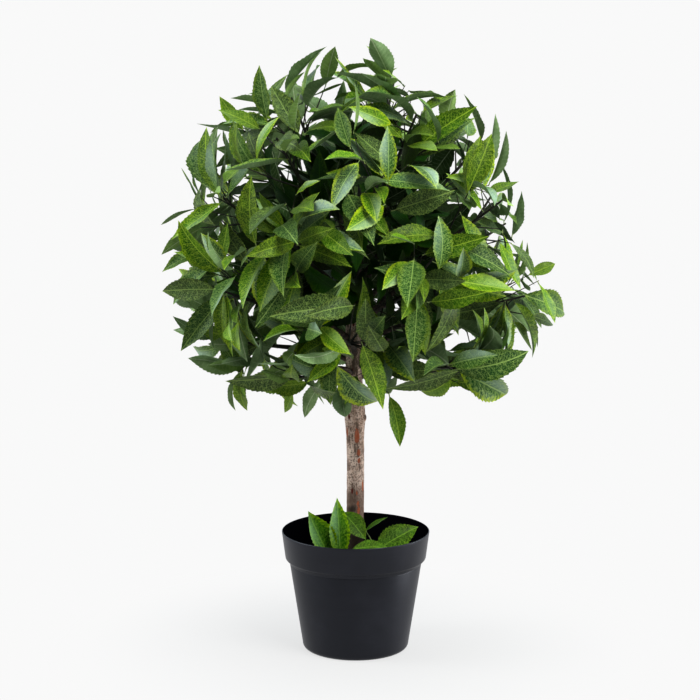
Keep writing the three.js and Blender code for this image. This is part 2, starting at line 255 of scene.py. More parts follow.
def tube(path, radii, sides, roughness=0.0, seed=0):  # a closed tube along a path
    path = [Vector(point) for point in path]
    u = sideways((path[1] - path[0]).normalized())[0]
    rows = []
    for i, point in enumerate(path):
        way = (path[min(i + 1, len(path) - 1)] - path[max(i - 1, 0)]).normalized()
        u = squared(u, way)
        v = way.cross(u)
        for side in range(sides):
            out = around(u, v, 2 * math.pi * side / sides)
            radius = radii[i]
            if roughness:
                radius *= 1 + roughness * noise.noise(point * 0.16 + out * 0.9 + Vector((seed, 0, 0)))
            rows.append(point + out * radius)
    return np.array(rows), len(path)


class Bundle:  # many tubes gathered in one mesh
    def __init__(self):
        self.points = []
        self.quads = []
        self.caps = {}
        self.count = 0

    def add(self, path, radii, sides, roughness=0.0, seed=0):
        points, rings = tube(path, radii, sides, roughness, seed)
        self.points.append(points)
        self.quads.append(ringFaces(rings, sides) + self.count)
        foot = np.arange(sides)[::-1] + self.count
        head = np.arange(sides) + self.count + (rings - 1) * sides
        self.caps.setdefault(sides, []).extend([foot, head])
        self.count += len(points)

    def piece(self, name, finish, slot, nodes):
        faces = [np.concatenate(self.quads)]
        faces += [np.array(caps) for caps in self.caps.values()]
        return newPiece(name, np.concatenate(self.points), faces, finish, nodes)


# pot

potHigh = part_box("pot")[1]
pot = {
    "height": potHigh.z / mm,
    "rimRadius": potHigh.x / mm,
    "bandRadius": 105,  # at the band's lower edge
    "bodyTopRadius": 99.3,
    "lowRadius": 79.5,
    "footRadius": 72,
    "footRound": 8,
    "bandHeight": 43,
    "step": 3,
    "wall": 3,
    "floor": 4,
    "ring": 7.5,  # width of the ring it stands on
    "recess": 1.5,  # and how far the underside lies above that
    "lip": 1.1,
    "line": 5.5,  # how far the fine line lies below the band
    "lineWidth": 0.7,
    "lineDepth": 0.3,
    "sides": 160,
    "plastic": srgb(13, 13, 18),
    "dust": srgb(38, 38, 44),
    # painted shade: the darker colour of the pot's inner walls
    "inside": srgb(10, 11, 16),
}
bandFoot = pot["height"] - pot["bandHeight"]


def innerRadius(height):  # of the body's wall, below the band
    share = (height - pot["footRound"]) / (bandFoot - pot["footRound"])
    return mix(pot["lowRadius"], pot["bodyTopRadius"], share) - pot["wall"]


def outerRadius(height):  # of the body, or of the band above it
    if height < bandFoot:
        return innerRadius(height) + pot["wall"]
    share = (height - bandFoot - pot["step"]) / (pot["bandHeight"] - pot["step"])
    return mix(pot["bandRadius"], pot["rimRadius"], share)


def arc(centre, radius, start, end, steps):
    turns = [math.radians(mix(start, end, i / steps)) for i in range(steps + 1)]
    return [(centre[0] + radius * math.cos(t), centre[1] + radius * math.sin(t)) for t in turns]


def potProfile():
    lip, step, top = pot["lip"], pot["step"], pot["height"]
    bodyRadius, bandRadius = pot["bodyTopRadius"], pot["bandRadius"]
    ringRadius = pot["footRadius"] - pot["ring"]
    outside = [(0, pot["recess"]), (ringRadius - pot["recess"], pot["recess"]), (ringRadius, 0)]
    for i in range(9):
        turn = math.pi / 2 * i / 8
        radius = mix(pot["footRadius"], pot["lowRadius"], math.sin(turn))
        outside.append((radius, pot["footRound"] * (1 - math.cos(turn))))
    for rise, deep in ((-pot["lineWidth"], 0), (0, pot["lineDepth"]), (pot["lineWidth"], 0)):
        height = bandFoot - pot["line"] + rise
        outside.append((outerRadius(height) - deep, height))
    # the rounded step out to the band, then the band
    outside += [(outerRadius(bandFoot - 1.6), bandFoot - 1.6), (bodyRadius + 0.5, bandFoot - 0.4)]
    outside += [(mix(bodyRadius, bandRadius, 0.7), bandFoot + step * 0.25)]
    outside += [(bandRadius - 0.5, bandFoot + step * 0.7)]
    outside += [(outerRadius(height), height) for height in (bandFoot + step + 0.6, top - 5)]
    centre = (pot["rimRadius"] - lip - 0.1, top - lip)
    outside += arc(centre, lip, 0, 150, 8)
    inside = [
        (pot["rimRadius"] - pot["wall"], top - 2.2),
        (bandRadius - pot["wall"], bandFoot + step),
        (innerRadius(bandFoot), bandFoot),
        (innerRadius(pot["footRound"]), pot["footRound"]),
        (pot["footRadius"] - pot["wall"], pot["floor"]),
        (0, pot["floor"]),
    ]
    return outside + inside


def turned(profile, sides):  # a profile that starts and ends on the axis, turned about it
    ends = [profile[0][1], profile[-1][1]]
    rings = np.array(profile[1:-1])
    turns = 2 * np.pi * np.arange(sides) / sides
    points = np.stack([
        rings[:, :1] * np.cos(turns), rings[:, :1] * np.sin(turns), np.repeat(rings[:, 1:], sides, 1)
    ], -1).reshape(-1, 3)
    points = np.concatenate([points, [[0, 0, ends[0]], [0, 0, ends[1]]]])
    side = np.arange(sides)
    last = (len(rings) - 1) * sides
    foot = np.stack([np.full(sides, len(points) - 2), (side + 1) % sides, side], -1)
    head = np.stack([np.full(sides, len(points) - 1), last + side, last + (side + 1) % sides], -1)
    return points, [ringFaces(len(rings), sides), np.concatenate([foot, head])]


def potFinish():
    material, start = newFinish("potPlastic")
    place = start.place()
    facing = start.node("NewGeometry", None, None, "Normal")
    outward = {0: facing, 1: place.stretched(1, 1, 0)}
    inside = start.node("VectorMath", {"operation": "DOT_PRODUCT"}, outward, "Value").step(0, -0.02)
    grain = place.clouds(900, 2)
    cloud = place.clouds(14, 4)
    streaks = place.stretched(6, 6, 160).clouds(1, 3)
    dusty = cloud.step(0.45, 0.8) * 0.5 + place.part(2).step(0.14, 0.18) * 0.25 + streaks * 0.2
    bumps = {"Height": grain * 0.6 + streaks * 0.8, "Distance": 0.0002, "Strength": 0.5}
    outer = {
        "Base Color": dusty.blend(pot["plastic"], pot["dust"]),
        "Roughness": 0.3 + grain * 0.08 + cloud * 0.08,
        "Normal": start.node("Bump", None, bumps),
        "Specular IOR Level": 0.55,
        "Specular Tint": (0.84, 0.88, 1, 1),
    }
    # painted shade: the inner walls get a darker colour and no reflection, so they stay black as in shade
    inner = {"Base Color": pot["inside"], "Roughness": 0.9, "Specular IOR Level": 0.0}
    outer, inner = (start.node("BsdfPrincipled", None, values) for values in (outer, inner))
    showAs(start, start.node("MixShader", None, {0: inside, 1: outer, 2: inner}), "OutputMaterial")
    return material


potPoints, potFaces = turned(potProfile(), pot["sides"])
newPiece("pot_shell", potPoints, potFaces, potFinish(), ["pot"], crease=35)
print("pot turned")


# fill

fillLow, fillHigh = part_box("pot_fill")
fill = {
    "top": fillHigh.z / mm,
    "foot": fillLow.z / mm,
    "gap": 0.3,
    "rough": 2.6,  # height of its lumps
    "heap": 3.5,  # how far it rises to the stem
    "heapFrom": 12,  # the radius that it starts to fall at
    "heapWidth": 16,
    "flatEdge": 6,  # how far in from the pot the lumps have their full height
    "rings": 56,
    "sides": 120,
    "dark": srgb(11, 9, 8),
    "light": srgb(44, 34, 26),
}


def fillShape():
    edge = innerRadius(fill["top"]) - fill["gap"]
    profile = [(0, fill["foot"]), (innerRadius(fill["foot"]) - fill["gap"], fill["foot"])]
    profile += [(edge, fill["top"] - 1)]
    profile += [(edge * (1 - (i + 1) / fill["rings"]), fill["top"]) for i in range(fill["rings"])]
    points, faces = turned(profile, fill["sides"])
    for i, (x, y, z) in enumerate(points):
        out = math.hypot(x, y)
        if z < fill["top"] - 0.5:
            continue
        spot = Vector((x, y, 0))
        lumps = noise.fractal(spot * 0.045, 1, 2, 5) * 0.7 + noise.noise(spot * 0.22) * 0.35
        inner = min(1, max(0, (edge - out) / fill["flatEdge"]))
        heap = fill["heap"] * math.exp(-(max(0, out - fill["heapFrom"]) / fill["heapWidth"]) ** 2)
        points[i, 2] = z - 1 + inner * (fill["rough"] * lumps + heap)
    return points, faces


def fillFinish():
    material, start = newFinish("darkCement")
    place = start.place()
    lumps = place.clouds(60, 6)
    grit = place.node("TexVoronoi", None, {"Vector": place, "Scale": 420}, "Distance")
    colour = lumps.step(0.4, 0.7).blend(fill["dark"], fill["light"])
    surface = {"Base Color": colour, "Roughness": 0.85 + lumps * 0.1}
    finishWith(start, surface, lumps + grit * 0.5, 0.001, 0.7)
    return material


fillPoints, fillFaces = fillShape()
newPiece("pot_cement", fillPoints, fillFaces, fillFinish(), ["pot_fill"])
print("fill poured")


# stem

trunkLow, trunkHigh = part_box("trunk")
trunk = {
    "foot": trunkLow.z / mm,
    "top": trunkHigh.z / mm,
    "footRadius": 13.2,
    "radius": 12.4,
    "topRadius": 9.5,
    "swellHeight": 356,
    "swell": 2.5,
    "swellSpread": 24,
    "sway": 1.4,
    "aside": Vector((-2.1, 0, 0)),
    "bark": 0.4,  # how far the bark's relief stands out of the solid stem
    "flare": 14,
    "flutes": 0.5,
    "rings": 400,
    "sides": 110,
    "ridges": 0.336,  # depth of the bark's long ridges, its flakes and its pimples
    "ridgeScale": (0.32, 0.32, 0.05),
    "flakes": 0.3,
    "flakeScale": (0.2, 0.2, 0.14),
    "pimples": 0.12,
    "pimpleScale": (0.9, 0.9, 0.9),
    "grainRadius": 12,  # of the round that the relief is worked out on
}
# stubs of cut twigs: height, direction in degrees, radius, how far each stands out
stubs = [(352, -24, 3.6, 2.2), (366, 195, 2.6, 2.4), (215, 236, 5.6, 3.2), (430, 100, 3.4, 1.8),
         (292, 60, 3.0, 1.5)]
# bare patches of orange wood: height, direction in degrees, half height, half width
patches = [(325, -86, 14, 3.6), (299, -76, 6.5, 3.0), (287, -72, 4, 2.0), (247, -35, 9, 2.0),
           (392, -50, 8, 2.0), (330, -150, 7, 2.0), (238, -88, 4, 1.6), (212, -74, 8, 2.6),
           (352, 150, 12, 3.2), (268, 96, 14, 3.4), (402, 60, 10, 2.6), (222, -80, 4, 2.2)]
bark = {
    "skin": srgb(182, 155, 139),
    "paleSkin": srgb(216, 194, 180),
    "blotch": srgb(102, 82, 70),
    "paleBlotch": srgb(232, 214, 202),
    "speck": srgb(92, 74, 60),
    "fibre": srgb(222, 204, 190),
    "crust": srgb(84, 70, 58),
    "low": srgb(112, 90, 78),
    "redSpot": srgb(98, 30, 20),
    "wood": srgb(140, 72, 42),
    "paleWood": srgb(190, 112, 76),
    "stub": srgb(52, 40, 32),
    # painted shade on the stem's foot, at and below the pot's rim
    "paintedShadeInPot": srgb(52, 38, 28),
}


def trunkCentre(height):
    share = (height - trunk["foot"]) / (trunk["top"] - trunk["foot"])
    sway = trunk["sway"]
    return Vector((sway * math.sin(share * 5.2), sway * math.sin(share * 3.7 + 1), height))


def trunkRadius(height):
    share = (height - trunk["foot"]) / (trunk["top"] - trunk["foot"])
    node = (height - trunk["swellHeight"]) / trunk["swellSpread"]
    flare = math.exp(-(height - trunk["foot"]) / trunk["flare"])
    foot = (trunk["footRadius"] - trunk["radius"]) * flare
    straight = mix(trunk["radius"], trunk["topRadius"], max(0, (share - 0.5) / 0.5))
    return straight + foot + trunk["swell"] * math.exp(-node * node)


def grainAt(spot, scale, octaves):
    spot = Vector([value * by for value, by in zip(spot, scale)])
    return noise.fractal(spot, 1, 2, octaves) if octaves else noise.noise(spot)


def trunkShape():
    sides, rings = trunk["sides"], trunk["rings"]
    points = []
    for ring in range(rings):
        height = mix(trunk["foot"], trunk["top"], ring / (rings - 1))
        centre, radius = trunkCentre(height) + trunk["aside"], trunkRadius(height) + trunk["bark"]
        share = (height - trunk["foot"]) / (trunk["top"] - trunk["foot"])
        for side in range(sides):
            turn = 2 * math.pi * side / sides
            cos, sin = math.cos(turn), math.sin(turn)
            out = radius + trunk["flutes"] * math.sin(3 * turn + 6 * share)
            spot = (cos * trunk["grainRadius"], sin * trunk["grainRadius"], height)
            out += trunk["ridges"] * grainAt(spot, trunk["ridgeScale"], 3)
            out += trunk["flakes"] * grainAt(spot, trunk["flakeScale"], 4)
            out += trunk["pimples"] * grainAt(spot, trunk["pimpleScale"], 0)
            for stubHeight, stubTurn, stubRadius, stubOut in stubs:
                if abs(height - stubHeight) > 3 * stubRadius:
                    continue
                apart = (turn - math.radians(stubTurn) + math.pi) % (2 * math.pi) - math.pi
                rise = height - stubHeight
                away = math.hypot(apart * radius, rise if rise > 0 else rise * 0.55) / stubRadius
                out += stubOut / (1 + away ** 5)
            points.append(centre + Vector((cos, sin, 0)) * out)
    caps = np.stack([np.arange(sides)[::-1], np.arange(sides) + (rings - 1) * sides])
    return np.array(points), [ringFaces(rings, sides), caps]


def barkFinish():
    material, start = newFinish("dryBark")
    place = start.place()
    x, y, height = (place.part(axis) for axis in range(3))
    tall = place.stretched(1, 1, 0.35)
    cloud = tall.clouds(62, 5, 0.6)
    fine = place.clouds(400, 5, 0.7)
    fibre = place.stretched(1, 1, 0.12).clouds(520, 3)
    blotch = tall.clouds(120, 3, 0.7)
    speck = place.node("TexVoronoi", None, {"Vector": tall, "Scale": 95}, "Distance")
    colour = cloud.step(0.38, 0.6).blend(bark["skin"], bark["paleSkin"])
    colour = (blotch.step(0.52, 0.62) * 0.8).blend(colour, bark["blotch"])
    colour = (blotch.step(0.47, 0.38) * 0.5).blend(colour, bark["paleBlotch"])
    colour = (fine.step(0.5, 0.56) * 0.75).blend(colour, bark["speck"])
    colour = (fibre.step(0.55, 0.66) * 0.5).blend(colour, bark["fibre"])
    crust = height.step(0.35, 0.385) + height.step(0.285, 0.25) * height.step(0.2, 0.235) * 0.05
    crust = crust + height.step(0.25, 0.205) * 0.6
    colour = (crust.below(1) * blotch.step(0.42, 0.6) * 0.8).blend(colour, bark["crust"])
    colour = (height.step(0.265, 0.225) * 0.8).blend(colour, bark["low"])
    colour = (speck.step(0.2, 0.12) * cloud.step(0.46, 0.52)).blend(colour, bark["redSpot"])
    bare = None
    for patchHeight, patchTurn, halfHeight, halfWidth in patches:
        cos, sin = math.cos(math.radians(patchTurn)), math.sin(math.radians(patchTurn))
        centre = trunkCentre(patchHeight) * mm
        east, north = x - centre.x, y - centre.y
        wide = (east * -sin + north * cos) / (halfWidth * mm)
        rise = (height - centre.z) / (halfHeight * mm)
        away = abs(rise) ** 1.6 + wide * wide + (blotch - 0.5) * 2.6 + (fine - 0.5) * 4
        mask = away.step(1.05, 0.85) * (east * cos + north * sin).step(0.002, 0.006)
        bare = mask if bare is None else bare.above(mask)
    colour = (bare * 0.92).blend(colour, fibre.blend(bark["wood"], bark["paleWood"]))
    for stubHeight, stubTurn, stubRadius, _ in stubs:
        turn = math.radians(stubTurn)
        spot = trunkCentre(stubHeight) + Vector((math.cos(turn), math.sin(turn), 0)) * trunk["radius"]
        apart = start.node("VectorMath", {"operation": "DISTANCE"}, {0: place, 1: spot * mm}, "Value")
        dark = (apart + (blotch - 0.5) * 0.008).step(stubRadius * 1.5 * mm, stubRadius * 0.9 * mm)
        colour = (dark * 0.85).blend(colour, bark["stub"])
    # painted shade: the stem is darkened from just above the pot's rim down, where the pot shades it
    colour = (height.step(0.196, 0.17) * 0.85).blend(colour, bark["paintedShadeInPot"])
    bumps = cloud * 0.7 + fine * 0.3 + fibre * 0.5 - bare * 0.5
    finishWith(start, {"Base Color": colour, "Roughness": 0.72 + fine * 0.2}, bumps, 0.0012, 0.8)
    return material


trunkPoints, trunkFaces = trunkShape()
newPiece("stem_bark", trunkPoints, trunkFaces, barkFinish(), ["trunk"])
print("stem carved")


# where the boughs and sprays go

crown = {
    "centre": Vector((6, 0, 620)),
    "lowestSine": -0.86,  # of the lowest spray's direction
    "reach": 296,
    "skirt": 26,  # how much further it reaches a little below its middle
    "skirtElevation": -30,
    "skirtSpread": 24,
    "underFrom": -50,  # the elevation below which it is flatter
    "under": 34,  # and by how much at its lowest
    "heavySide": Vector((0.8, 0, -0.6)),
    "heavier": 13,
    "unevenness": 9,
    "trunkRoom": 6,
    "limbRoom": 2.5,
    "outliers": 20,  # how far a few leaves may pass the outline
    "insiders": 62,  # and how far inside it most must end
    "hollows": 9,
}
# where the leaves reach further or less far: direction, how much, how narrow
lobes = [((1, 0, 0.15), -42, 3), ((0.6, 0, 0.8), -6, 6), ((-0.05, 0, 1), 30, 30),
         ((-0.75, 0, 0.66), -8, 8), ((0.05, 0, -1), -34, 14), ((0.12, -0.4, -0.91), -26, 20),
         ((0.6, 0, -0.8), 12, 12), ((-0.42, 0, -0.91), 26, 16), ((0.2, 0, 0.98), -20, 4),
         ((-0.98, 0, 0.2), -6, 10), ((0.88, 0, -0.48), -3, 20)]
# gaps that are open from the front: a point near the stem's plane, the radius, how far on behind it
gaps = [((143, 0, 462), 10, 0.2), ((163, 0, 465), 9, 0.2), ((-98, 0, 465), 11, 0.2),
        ((-22, 0, 410), 7, 0.2), ((-3, -12, 464), 11, 0)]
bough = {
    "lowestRoot": 404,
    "highestRoot": 590,
    "rootRadius": 3.8,
    "tipRadius": 3.2,
    "share": 0.42,
    "lift": 16,
}
spray = {
    "endDepth": 52,
    "overlap": 2,
    "stemRadius": 3.4,
    "twigRadius": 1.6,
    "sideTwigs": 4,
    "firstFork": 0.3,
    "forkStep": 0.13,
    "spread": 66,
    "back": 20,
    "clear": 0.5,
    "shared": 16,  # how far a leaf may reach into the next spray's space
}


def sprayDirection(k):
    sine = mix(1, crown["lowestSine"], (k + 0.5) / sprayCount)
    level = math.sqrt(1 - sine * sine)
    turn = k * goldenAngle + 0.6
    return Vector((level * math.cos(turn), level * math.sin(turn), sine))


def reachAlong(ways):  # of the crown's tips, for an array of directions
    elevation = np.degrees(np.arcsin(np.clip(ways[:, 2], -1, 1)))
    fromSkirt = (elevation - crown["skirtElevation"]) / crown["skirtSpread"]
    below = np.maximum(0, (crown["underFrom"] - elevation) / (90 + crown["underFrom"]))
    heavy = np.maximum(0, ways @ np.array(crown["heavySide"]))
    skirt = crown["skirt"] * np.exp(-fromSkirt ** 2)
    return crown["reach"] + skirt + crown["heavier"] * heavy ** 4 - crown["under"] * below


def leafReach(ways):  # of the leaves' tips: less full on one side, with hollows all round
    x, y, z = ways.T
    waves = np.sin(5.1 * x + 2.3 * z + 1.3) + np.sin(4.7 * y - 2.9 * x + 2.1)
    waves += np.sin(6.3 * z + 3.1 * y + 0.7)
    reach = reachAlong(ways) - crown["hollows"] * (1 + waves / 1.5)
    for way, more, narrow in lobes:
        reach += more * np.maximum(0, ways @ np.array(way)) ** narrow
    return reach


def sprayLines(k):
    direction, draw = sprayDirection(k), seeded(k + 11)
    reach = float(reachAlong(np.array([direction]))[0])
    fallen = (1 - direction.z) / (1 - crown["lowestSine"])
    root = trunkCentre(mix(bough["highestRoot"], bough["lowestRoot"], fallen ** 0.85))
    uneven = draw(-crown["unevenness"], crown["unevenness"] / 2)
    end = crown["centre"] + direction * (reach - spray["endDepth"] + uneven)
    tip = root.lerp(end, bough["share"])
    tip.z += bough["lift"] * 0.5
    middle = root.lerp(tip, 0.5)
    middle.z += bough["lift"]
    outer = crown["centre"] + direction * reach
    return {"direction": direction, "root": root, "middle": middle, "tip": tip, "end": end,
            "outer": outer}


def onBough(line, share):  # a point on a bough's curve
    first = line["root"].lerp(line["middle"], share)
    return first.lerp(line["middle"].lerp(line["tip"], share), share)


lines = [sprayLines(k) for k in range(sprayCount)]
spineStarts = np.array([point for line in lines for point in (line["tip"], line["end"])])
spineEnds = np.array([point for line in lines for point in (line["end"], line["outer"])])
limbStarts = np.array([onBough(line, share) for line in lines for share in (0, 0.5)])
limbEnds = np.array([onBough(line, share) for line in lines for share in (0.5, 1)])


def distances(points, starts, ends):  # from each point to each straight line
    along = ends - starts
    apart = points[:, None] - starts
    share = np.clip((apart * along).sum(-1) / (along * along).sum(-1), 0, 1)
    return np.linalg.norm(apart - share[..., None] * along, axis=-1)


viewer = Vector((view["side"], -view["distance"], view["height"])) / mm
gapStarts = np.array([viewer for gap in gaps])
gapEnds = np.array([Vector(spot).lerp(viewer, -behind) for spot, radius, behind in gaps])
gapRadii = np.array([radius for spot, radius, behind in gaps])


def areFree(k, points, shared=0.0, room=0.0, reach=reachAlong):
    # inside the outline, on the spray's own side, clear of the stem and of the other boughs
    spines = distances(points, spineStarts, spineEnds).reshape(len(points), -1, 2).min(2)
    own = spines[:, k].copy()
    spines[:, k] = np.inf
    if (spines.min(1) < own + spray["clear"] - shared).any():
        return False
    out = points - np.array(crown["centre"])
    away = np.linalg.norm(out, axis=1)
    if (away > reach(out / away[:, None]) + room).any():
        return False
    low = points[:, 2] < trunk["top"]
    if (np.hypot(points[:, 0], points[:, 1])[low] < trunk["radius"] + crown["trunkRoom"]).any():
        return False
    limbs = distances(points, limbStarts, limbEnds).reshape(len(points), -1, 2).min(2)
    limbs[:, k] = np.inf
    return bool((limbs > bough["rootRadius"] + crown["limbRoom"]).all())


# boughs and twigs

twigs = {
    "finerRadius": 1.1,
    "finer": 7,  # finer twigs on each spray's stem
    "finerSpread": 40,
    "inner": 3,  # shorter ones on each side twig
    "innerLength": 42,
    "deep": 7,  # and on each bough
    "deepLength": 62,
    "deepShared": 60,  # how far those may reach into the next spray's space
    "bow": 2.5,  # how far a twig bends out of straight
    "knots": 0.22,
}


def newTwig(start, end, radius, draw, leaves, parent=None, share=1.0, shared=None):
    way = (end - start).normalized()
    section = turnedPair(sideways(way), draw(0, 2 * math.pi))
    if parent:
        parent["used"] = max(parent["used"], share)
    return {"start": start, "end": end, "radius": radius, "way": way, "leaves": leaves, "section": section,
            "bow": section[0] * draw(0, twigs["bow"]), "used": 0.0, "shared": shared or spray["shared"]}


def onTwig(twig, share):  # a point on a twig's bent line
    return twig["start"].lerp(twig["end"], share) + twig["bow"] * math.sin(math.pi * share)


def growTwigs(k):  # the stem and side twigs by the solids' rule, then the finer ones
    line = lines[k]
    direction, end = line["direction"], line["end"]
    draw = seeded(k + 101)
    cut = (line["tip"] - line["middle"]).normalized()
    stem = newTwig(line["tip"] - cut * spray["overlap"], end, spray["stemRadius"], draw, 7)
    u, v = sideways(direction)
    phase = draw(0, 2 * math.pi)
    grown = [stem]
    for t in range(spray["sideTwigs"]):
        turn = phase + t * 2 * math.pi / spray["sideTwigs"] + draw(-0.3, 0.3)
        share = spray["firstFork"] + spray["forkStep"] * t
        fork = onTwig(stem, share)
        spread = spray["spread"] * draw(0.8, 1.1)
        far = end + u * spread * math.cos(turn) + v * spread * math.sin(turn)
        far -= direction * spray["back"] * draw(0.3, 1.6)
        points = np.array([fork.lerp(far, part) for part in (0.5, 0.8, 1)])
        if areFree(k, points):
            grown.append(newTwig(fork, far, spray["twigRadius"], draw, 7, stem, share))
    for side in grown[1:]:
        for _ in range(twigs["inner"]):
            share = draw(0.3, 0.6)
            start = onTwig(side, share)
            lean = side["way"] + direction * draw(-0.4, 1.0) + u * draw(-0.8, 0.8) + v * draw(-0.8, 0.8)
            far = start + lean.normalized() * twigs["innerLength"] * draw(0.7, 1.2)
            if areFree(k, np.array([far]), 4):
                grown.append(newTwig(start, far, twigs["finerRadius"], draw, 5, side, share))
    for t in range(twigs["finer"]):
        turn = phase + (t + 0.5) * 2 * math.pi / twigs["finer"] + draw(-0.4, 0.4)
        share = mix(0.35, 0.85, t / (twigs["finer"] - 1))
        spread = twigs["finerSpread"] * draw(0.55, 1.15)
        far = end + u * spread * math.cos(turn) + v * spread * math.sin(turn) - direction * draw(-10, 46)
        if areFree(k, np.array([far]), 4):
            grown.append(newTwig(onTwig(stem, share), far, twigs["finerRadius"], draw, 7, stem, share))
    for t in range(twigs["deep"]):
        start = onBough(line, mix(0.45, 0.95, t / (twigs["deep"] - 1)))
        turn = phase + t * goldenAngle + draw(-0.4, 0.4)
        lean = direction * draw(0.2, 0.9) + u * math.cos(turn) + v * math.sin(turn)
        far = start + lean.normalized() * twigs["deepLength"] * draw(0.7, 1.2)
        if areFree(k, np.array([start.lerp(far, 0.6), far]), twigs["deepShared"]):
            grown.append(newTwig(start, far, twigs["finerRadius"], draw, 6, shared=twigs["deepShared"]))
    return grown


sprayTwigs = [growTwigs(k) for k in range(sprayCount)]
print("twigs grown:", sum(map(len, sprayTwigs)))


def wireFinish(name, dark, light, roughness):
    material, start = newFinish(name)
    place = start.place()
    cloud = place.clouds(160, 4)
    fine = place.clouds(900, 2)
    colour = cloud.step(0.42, 0.66).blend(dark, light)
    surface = {"Base Color": colour, "Roughness": roughness + fine * 0.2}
    finishWith(start, surface, cloud * 0.6 + fine * 0.4, 0.0004, 0.6)
    return material


def bowed(start, end, bow, draw, steps):  # a path with a slight bend
    u, v = sideways((end - start).normalized())
    side = around(u, v, draw(0, 2 * math.pi)) * bow
    return [start.lerp(end, i / steps) + side * math.sin(math.pi * i / steps) for i in range(steps + 1)]


# leaves

leaf = {
    "youngLength": 72,
    "oldLength": 112,
    "width": 0.345,  # of the length
    "baseShape": 0.98,  # how the outline leaves the stalk
    "tipShape": 1.2,  # and how it comes to its tip
    "thickness": 0.5,
    "teeth": 14,
    "innerTeeth": 7,
    "toothDepth": 0.1,
    "toothLean": 0.8,
    "stalkRadius": 0.75,
    "youngStalk": 2.5,  # length of the stalk
    "oldStalk": 7,
    "spacing": 6.5,
    "youngTilt": 22,
    "oldTilt": 72,
    "sag": 0.2,
    "faceUp": 0.35,
    "tries": 14,
    "retryTurn": 2.1,  # round the twig, in radians, for a leaf that didn't fit
    "shrink": 0.978,
    "nearby": 95,  # between the middles of two leaves that are tested for a clash
    "perPiece": 400,
}
pattern = {
    "variants": 8,  # rows of pattern that the leaves share
    "start": 0.03,  # where a blade starts along its row
    "length": 0.94,
    "reach": 1.2,  # how far across a row goes, in half widths
    "long": 80,  # a blade's length in the pattern, and its half width
    "wide": 15,
    "apart": 131,  # how far apart two variants lie along it, and how deep
    "deeper": 17,
    "veins": 7,  # spacing of the side veins
}
widestAt = leaf["baseShape"] / (leaf["baseShape"] + leaf["tipShape"])
outlinePeak = widestAt ** leaf["baseShape"] * (1 - widestAt) ** leaf["tipShape"]
bladeRing = 8  # points round a blade: five over its upper side, three under it


def outlineAt(along):  # a blade's width along it, 1 where it is widest
    return along ** leaf["baseShape"] * (1 - along) ** leaf["tipShape"] / outlinePeak


def bladeGrid(rows, toothed):  # the shares along and across a blade, over it and under it
    across = [-1, -0.5, 0, 0.5, 1, -0.5, 0, 0.5]
    rise = [0, 0.8, 0.7, 0.8, 0, -0.8, -1.3, -0.8]
    along = np.repeat(np.linspace(0, 1, rows)[:, None], bladeRing, 1)
    grow = np.ones((rows, bladeRing))
    if toothed:
        tooth = np.arange(rows) % 2 == 1
        for column in (0, 4):
            along[tooth, column] += leaf["toothLean"] / (rows - 1)
            grow[tooth, column] += leaf["toothDepth"]
        for column in (1, 3, 5, 7):
            along[tooth, column] += 0.3 * leaf["toothLean"] / (rows - 1)
    return along.ravel(), np.tile(across, rows), grow.ravel(), np.tile(rise, rows)


def bladeShape(blades, grid):  # every point of every blade, and where each lies in the pattern
    def every(key):
        return np.array([blade[key] for blade in blades], float)

    along, across, grow, rise = grid
    numbers = ("length", "width", "bend", "twist", "fold", "wave", "phase", "lift")
    length, width, bend, twist, fold, wave, phase, lift = (every(key)[:, None] for key in numbers)
    axis, face, root = (every(key) for key in ("axis", "face", "root"))
    side = np.cross(face, axis)
    bend = np.where(np.abs(bend) < 0.01, 0.01, bend)
    start = lift * bend
    angle = start - bend * along
    forward = length * (np.sin(start) - np.sin(angle)) / bend
    up = length * (np.cos(angle) - np.cos(start)) / bend
    outline = outlineAt(np.clip(along, 0, 1))
    half = width * outline * grow + leaf["stalkRadius"] * (1 - along) ** 3 + 0.12
    out = half * across
    bump = half * np.abs(across) ** 1.5 * fold
    bump = bump + wave * length * np.sin(along * 16 + phase + across * 1.2) * np.abs(across) ** 2 * outline
    bump = bump + rise * leaf["thickness"] / 2 * (0.35 + 0.65 * outline)
    turn = twist * along
    acrossOut = out * np.cos(turn) - bump * np.sin(turn)
    normalOut = out * np.sin(turn) + bump * np.cos(turn)
    forward = forward - normalOut * np.sin(angle)
    up = up + normalOut * np.cos(angle)
    points = root[:, None] + axis[:, None] * forward[..., None] + side[:, None] * acrossOut[..., None]
    points = points + face[:, None] * up[..., None]
    return points, out / width


# the coarse shape that a leaf is tested in, and its points at the edge, the tip and the middle
coarseGrid = bladeGrid(5, False)
coarseCorners = [row * bladeRing + side for row in range(4) for side in (0, 2)]
coarseQuads = [(at, at + bladeRing, at + bladeRing + 2, at + 2) for at in coarseCorners]
outlinePoints = [0, 8, 12, 16, 18, 20, 24, 28, 34]
middlePoint = 18


def newBlade(root, axis, face, length, draw, bend=None, twist=None, fold=None, width=None):
    return {
        "root": root,
        "axis": axis,
        "face": face,
        "length": length,
        "width": (leaf["width"] * draw(0.86, 1.12) if width is None else width) * length / 2,
        "bend": draw(-0.25, 1.0) if bend is None else bend,
        "lift": draw(0.25, 0.45),
        "twist": draw(-0.7, 0.7) if twist is None else twist,
        "fold": draw(0.06, 0.6) if fold is None else fold,
        "wave": draw(0.0, 0.018),
        "phase": draw(0, 6.28),
    }


